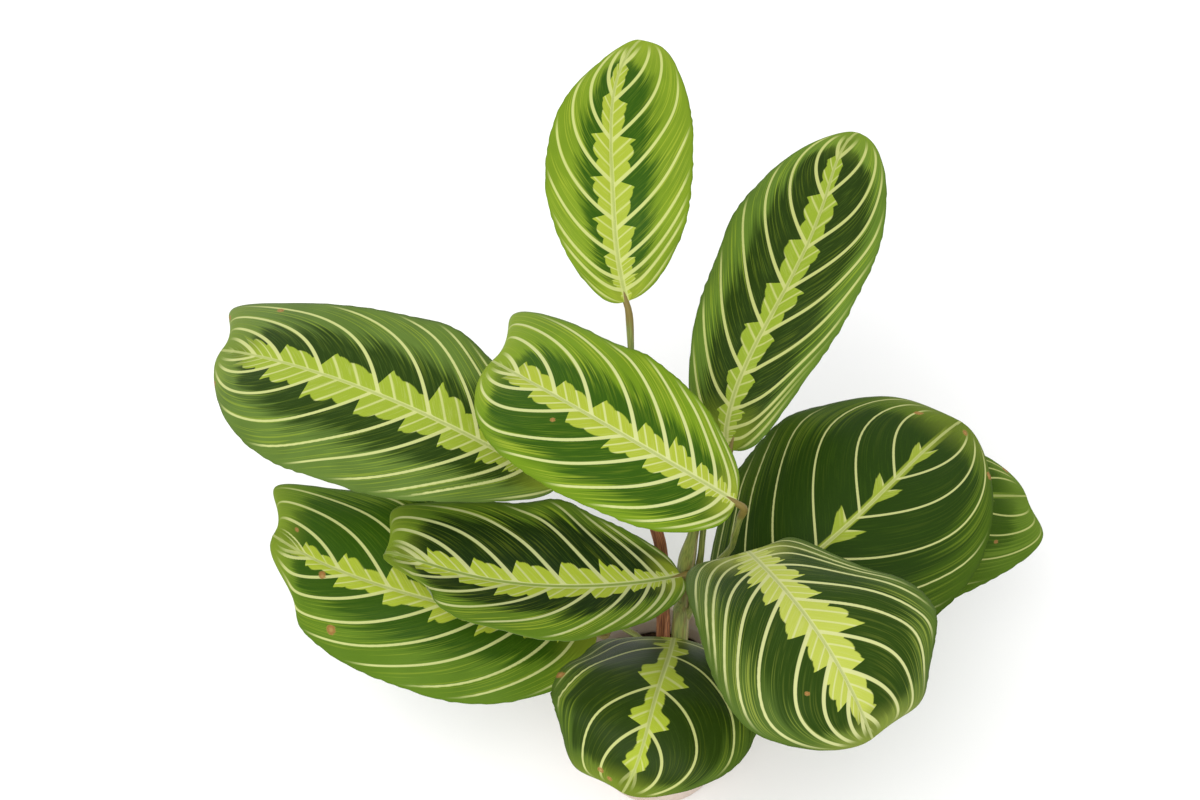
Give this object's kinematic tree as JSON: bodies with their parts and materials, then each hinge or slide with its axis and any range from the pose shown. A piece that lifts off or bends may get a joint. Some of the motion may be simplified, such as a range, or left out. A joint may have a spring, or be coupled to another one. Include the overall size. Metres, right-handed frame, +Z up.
{
  "type": "potted prayer plant",
  "caption": "Potted prayer plant (maranta): patterned oval leaves on thin sheathed stalks, rising from soil in a small plain taupe nursery pot.",
  "frame": {"origin": "centre of the pot's flat underside, on the surface that the pot stands on", "axes": "+Z up along the pot's axis, +X to the right and -Y towards the front of the picture's view"},
  "size_m": [0.3047, 0.2454, 0.2166],
  "materials": {
    "blade_green": "satin leaf",
    "blade_young": "satin leaf",
    "stalk": "satin stalk",
    "dry_sheath": "papery",
    "pot": "moulded, satin",
    "soil": "crumbly peat"
  },
  "bodies": {
    "root": {"pot": "pot", "soil": "soil", "shoot_main": "stalk", "shoot_left": "stalk", "shoot_right": "stalk", "stalk_front": "stalk", "stalk_top": "stalk", "dry_bract": "dry_sheath", "leaf_top": "blade_young", "leaf_rear_right": "blade_green", "leaf_upper_left": "blade_green", "leaf_centre": "blade_young", "leaf_mid_left": "blade_green", "leaf_low_left": "blade_green", "leaf_right": "blade_green", "leaf_far_right": "blade_green", "leaf_front": "blade_green", "leaf_front_right": "blade_green"}
  },
  "joints": []
}
